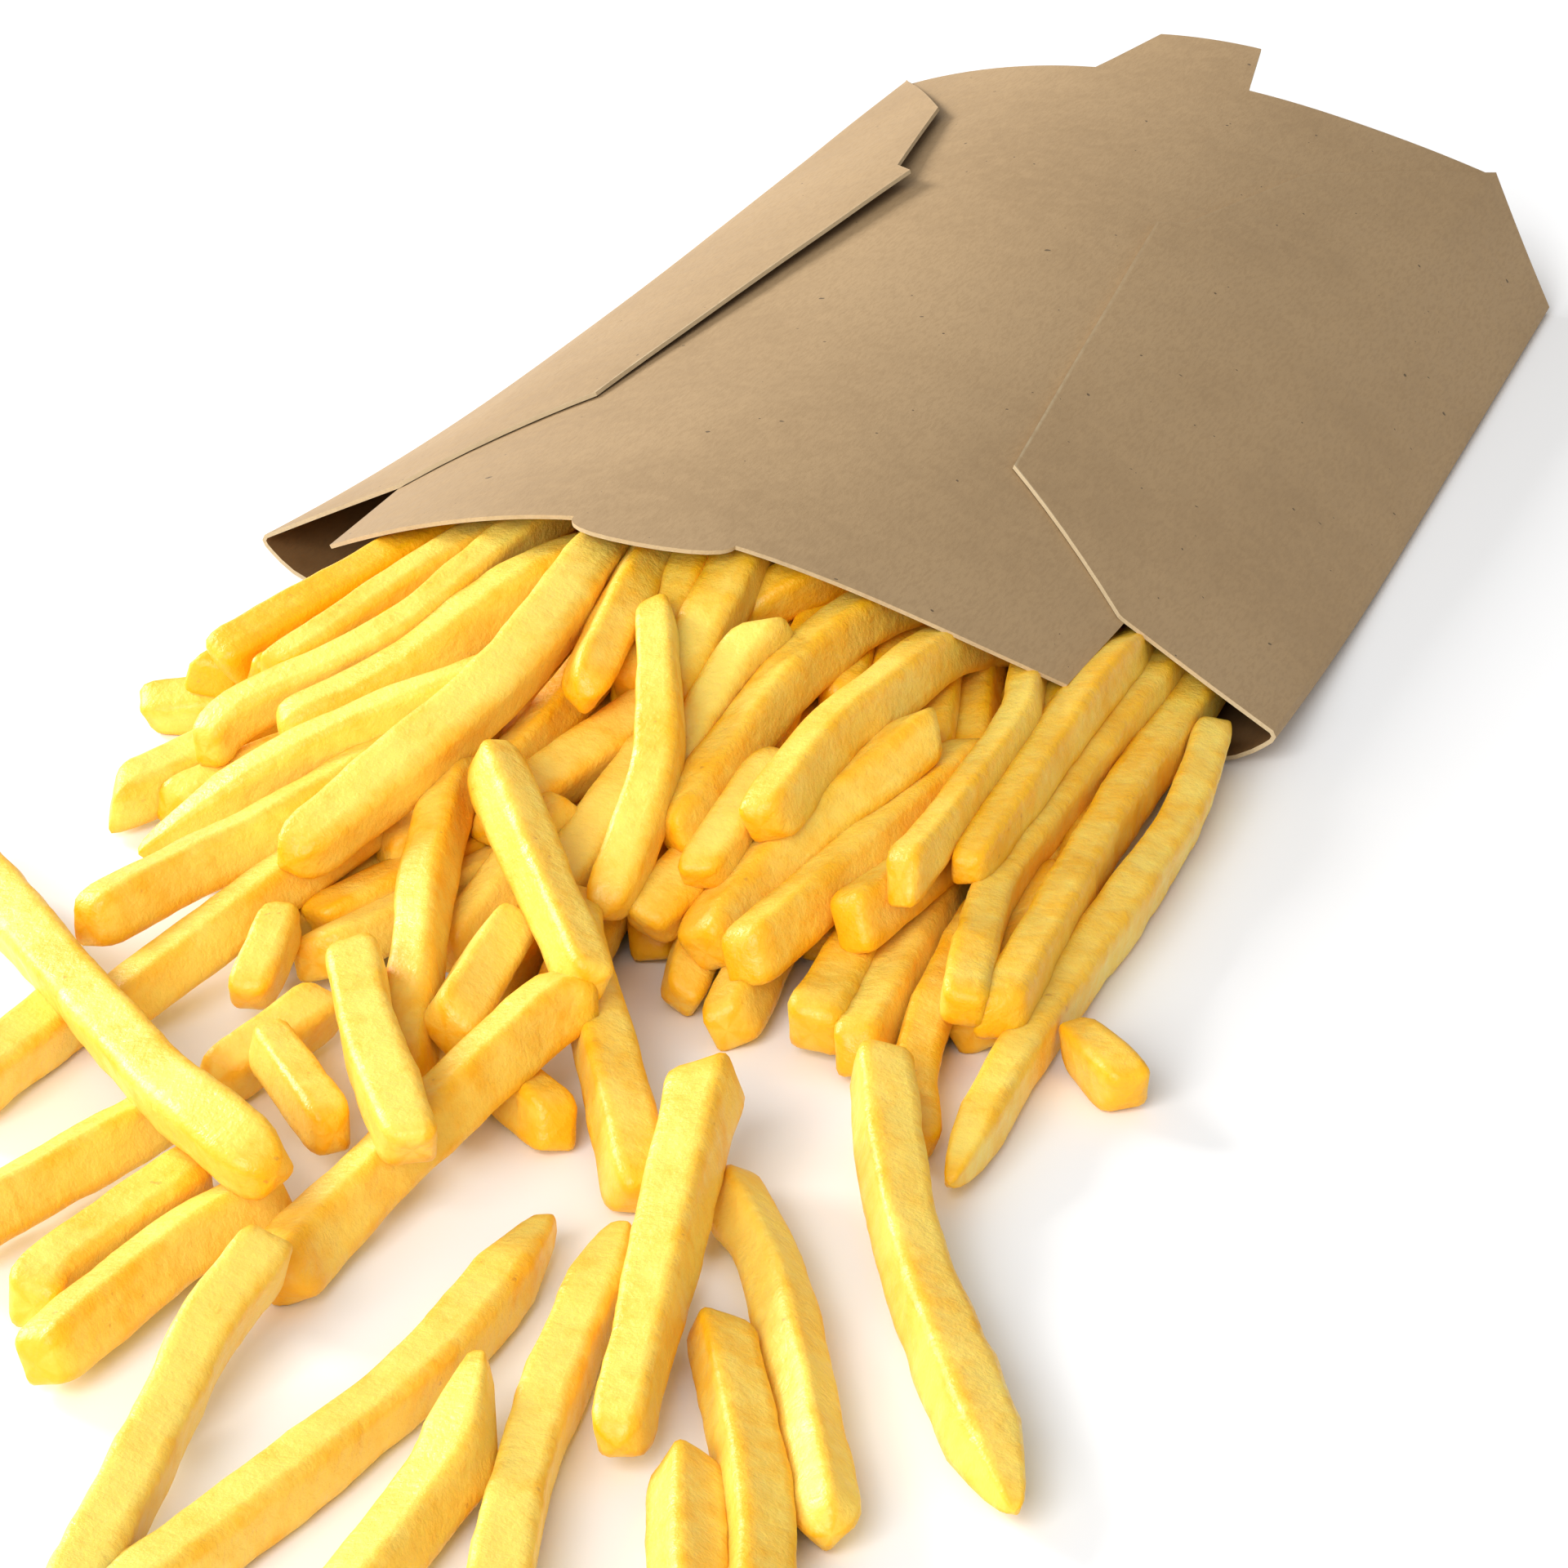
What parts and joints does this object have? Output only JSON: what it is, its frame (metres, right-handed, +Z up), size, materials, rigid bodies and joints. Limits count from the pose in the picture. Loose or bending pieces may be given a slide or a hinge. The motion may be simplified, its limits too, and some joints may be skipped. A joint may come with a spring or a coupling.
{
  "type": "french fries in a carton",
  "caption": "Tapered kraft board fries carton lying on its back panel, with a heap of cut fries spilling out of its open mouth.",
  "frame": {"origin": "on the table under the middle of the carton's mouth, on the underside of the back panel", "axes": "+Y into the carton towards its closed end, +Z up, +X to the right of +Y"},
  "size_m": [0.1633, 0.3659, 0.0307],
  "materials": {
    "board": "uncoated brown kraft board, matte, with fine fibres and pale cut edges",
    "potato": null
  },
  "bodies": {
    "root": {"carton": "board", "fries": "potato"}
  },
  "joints": []
}
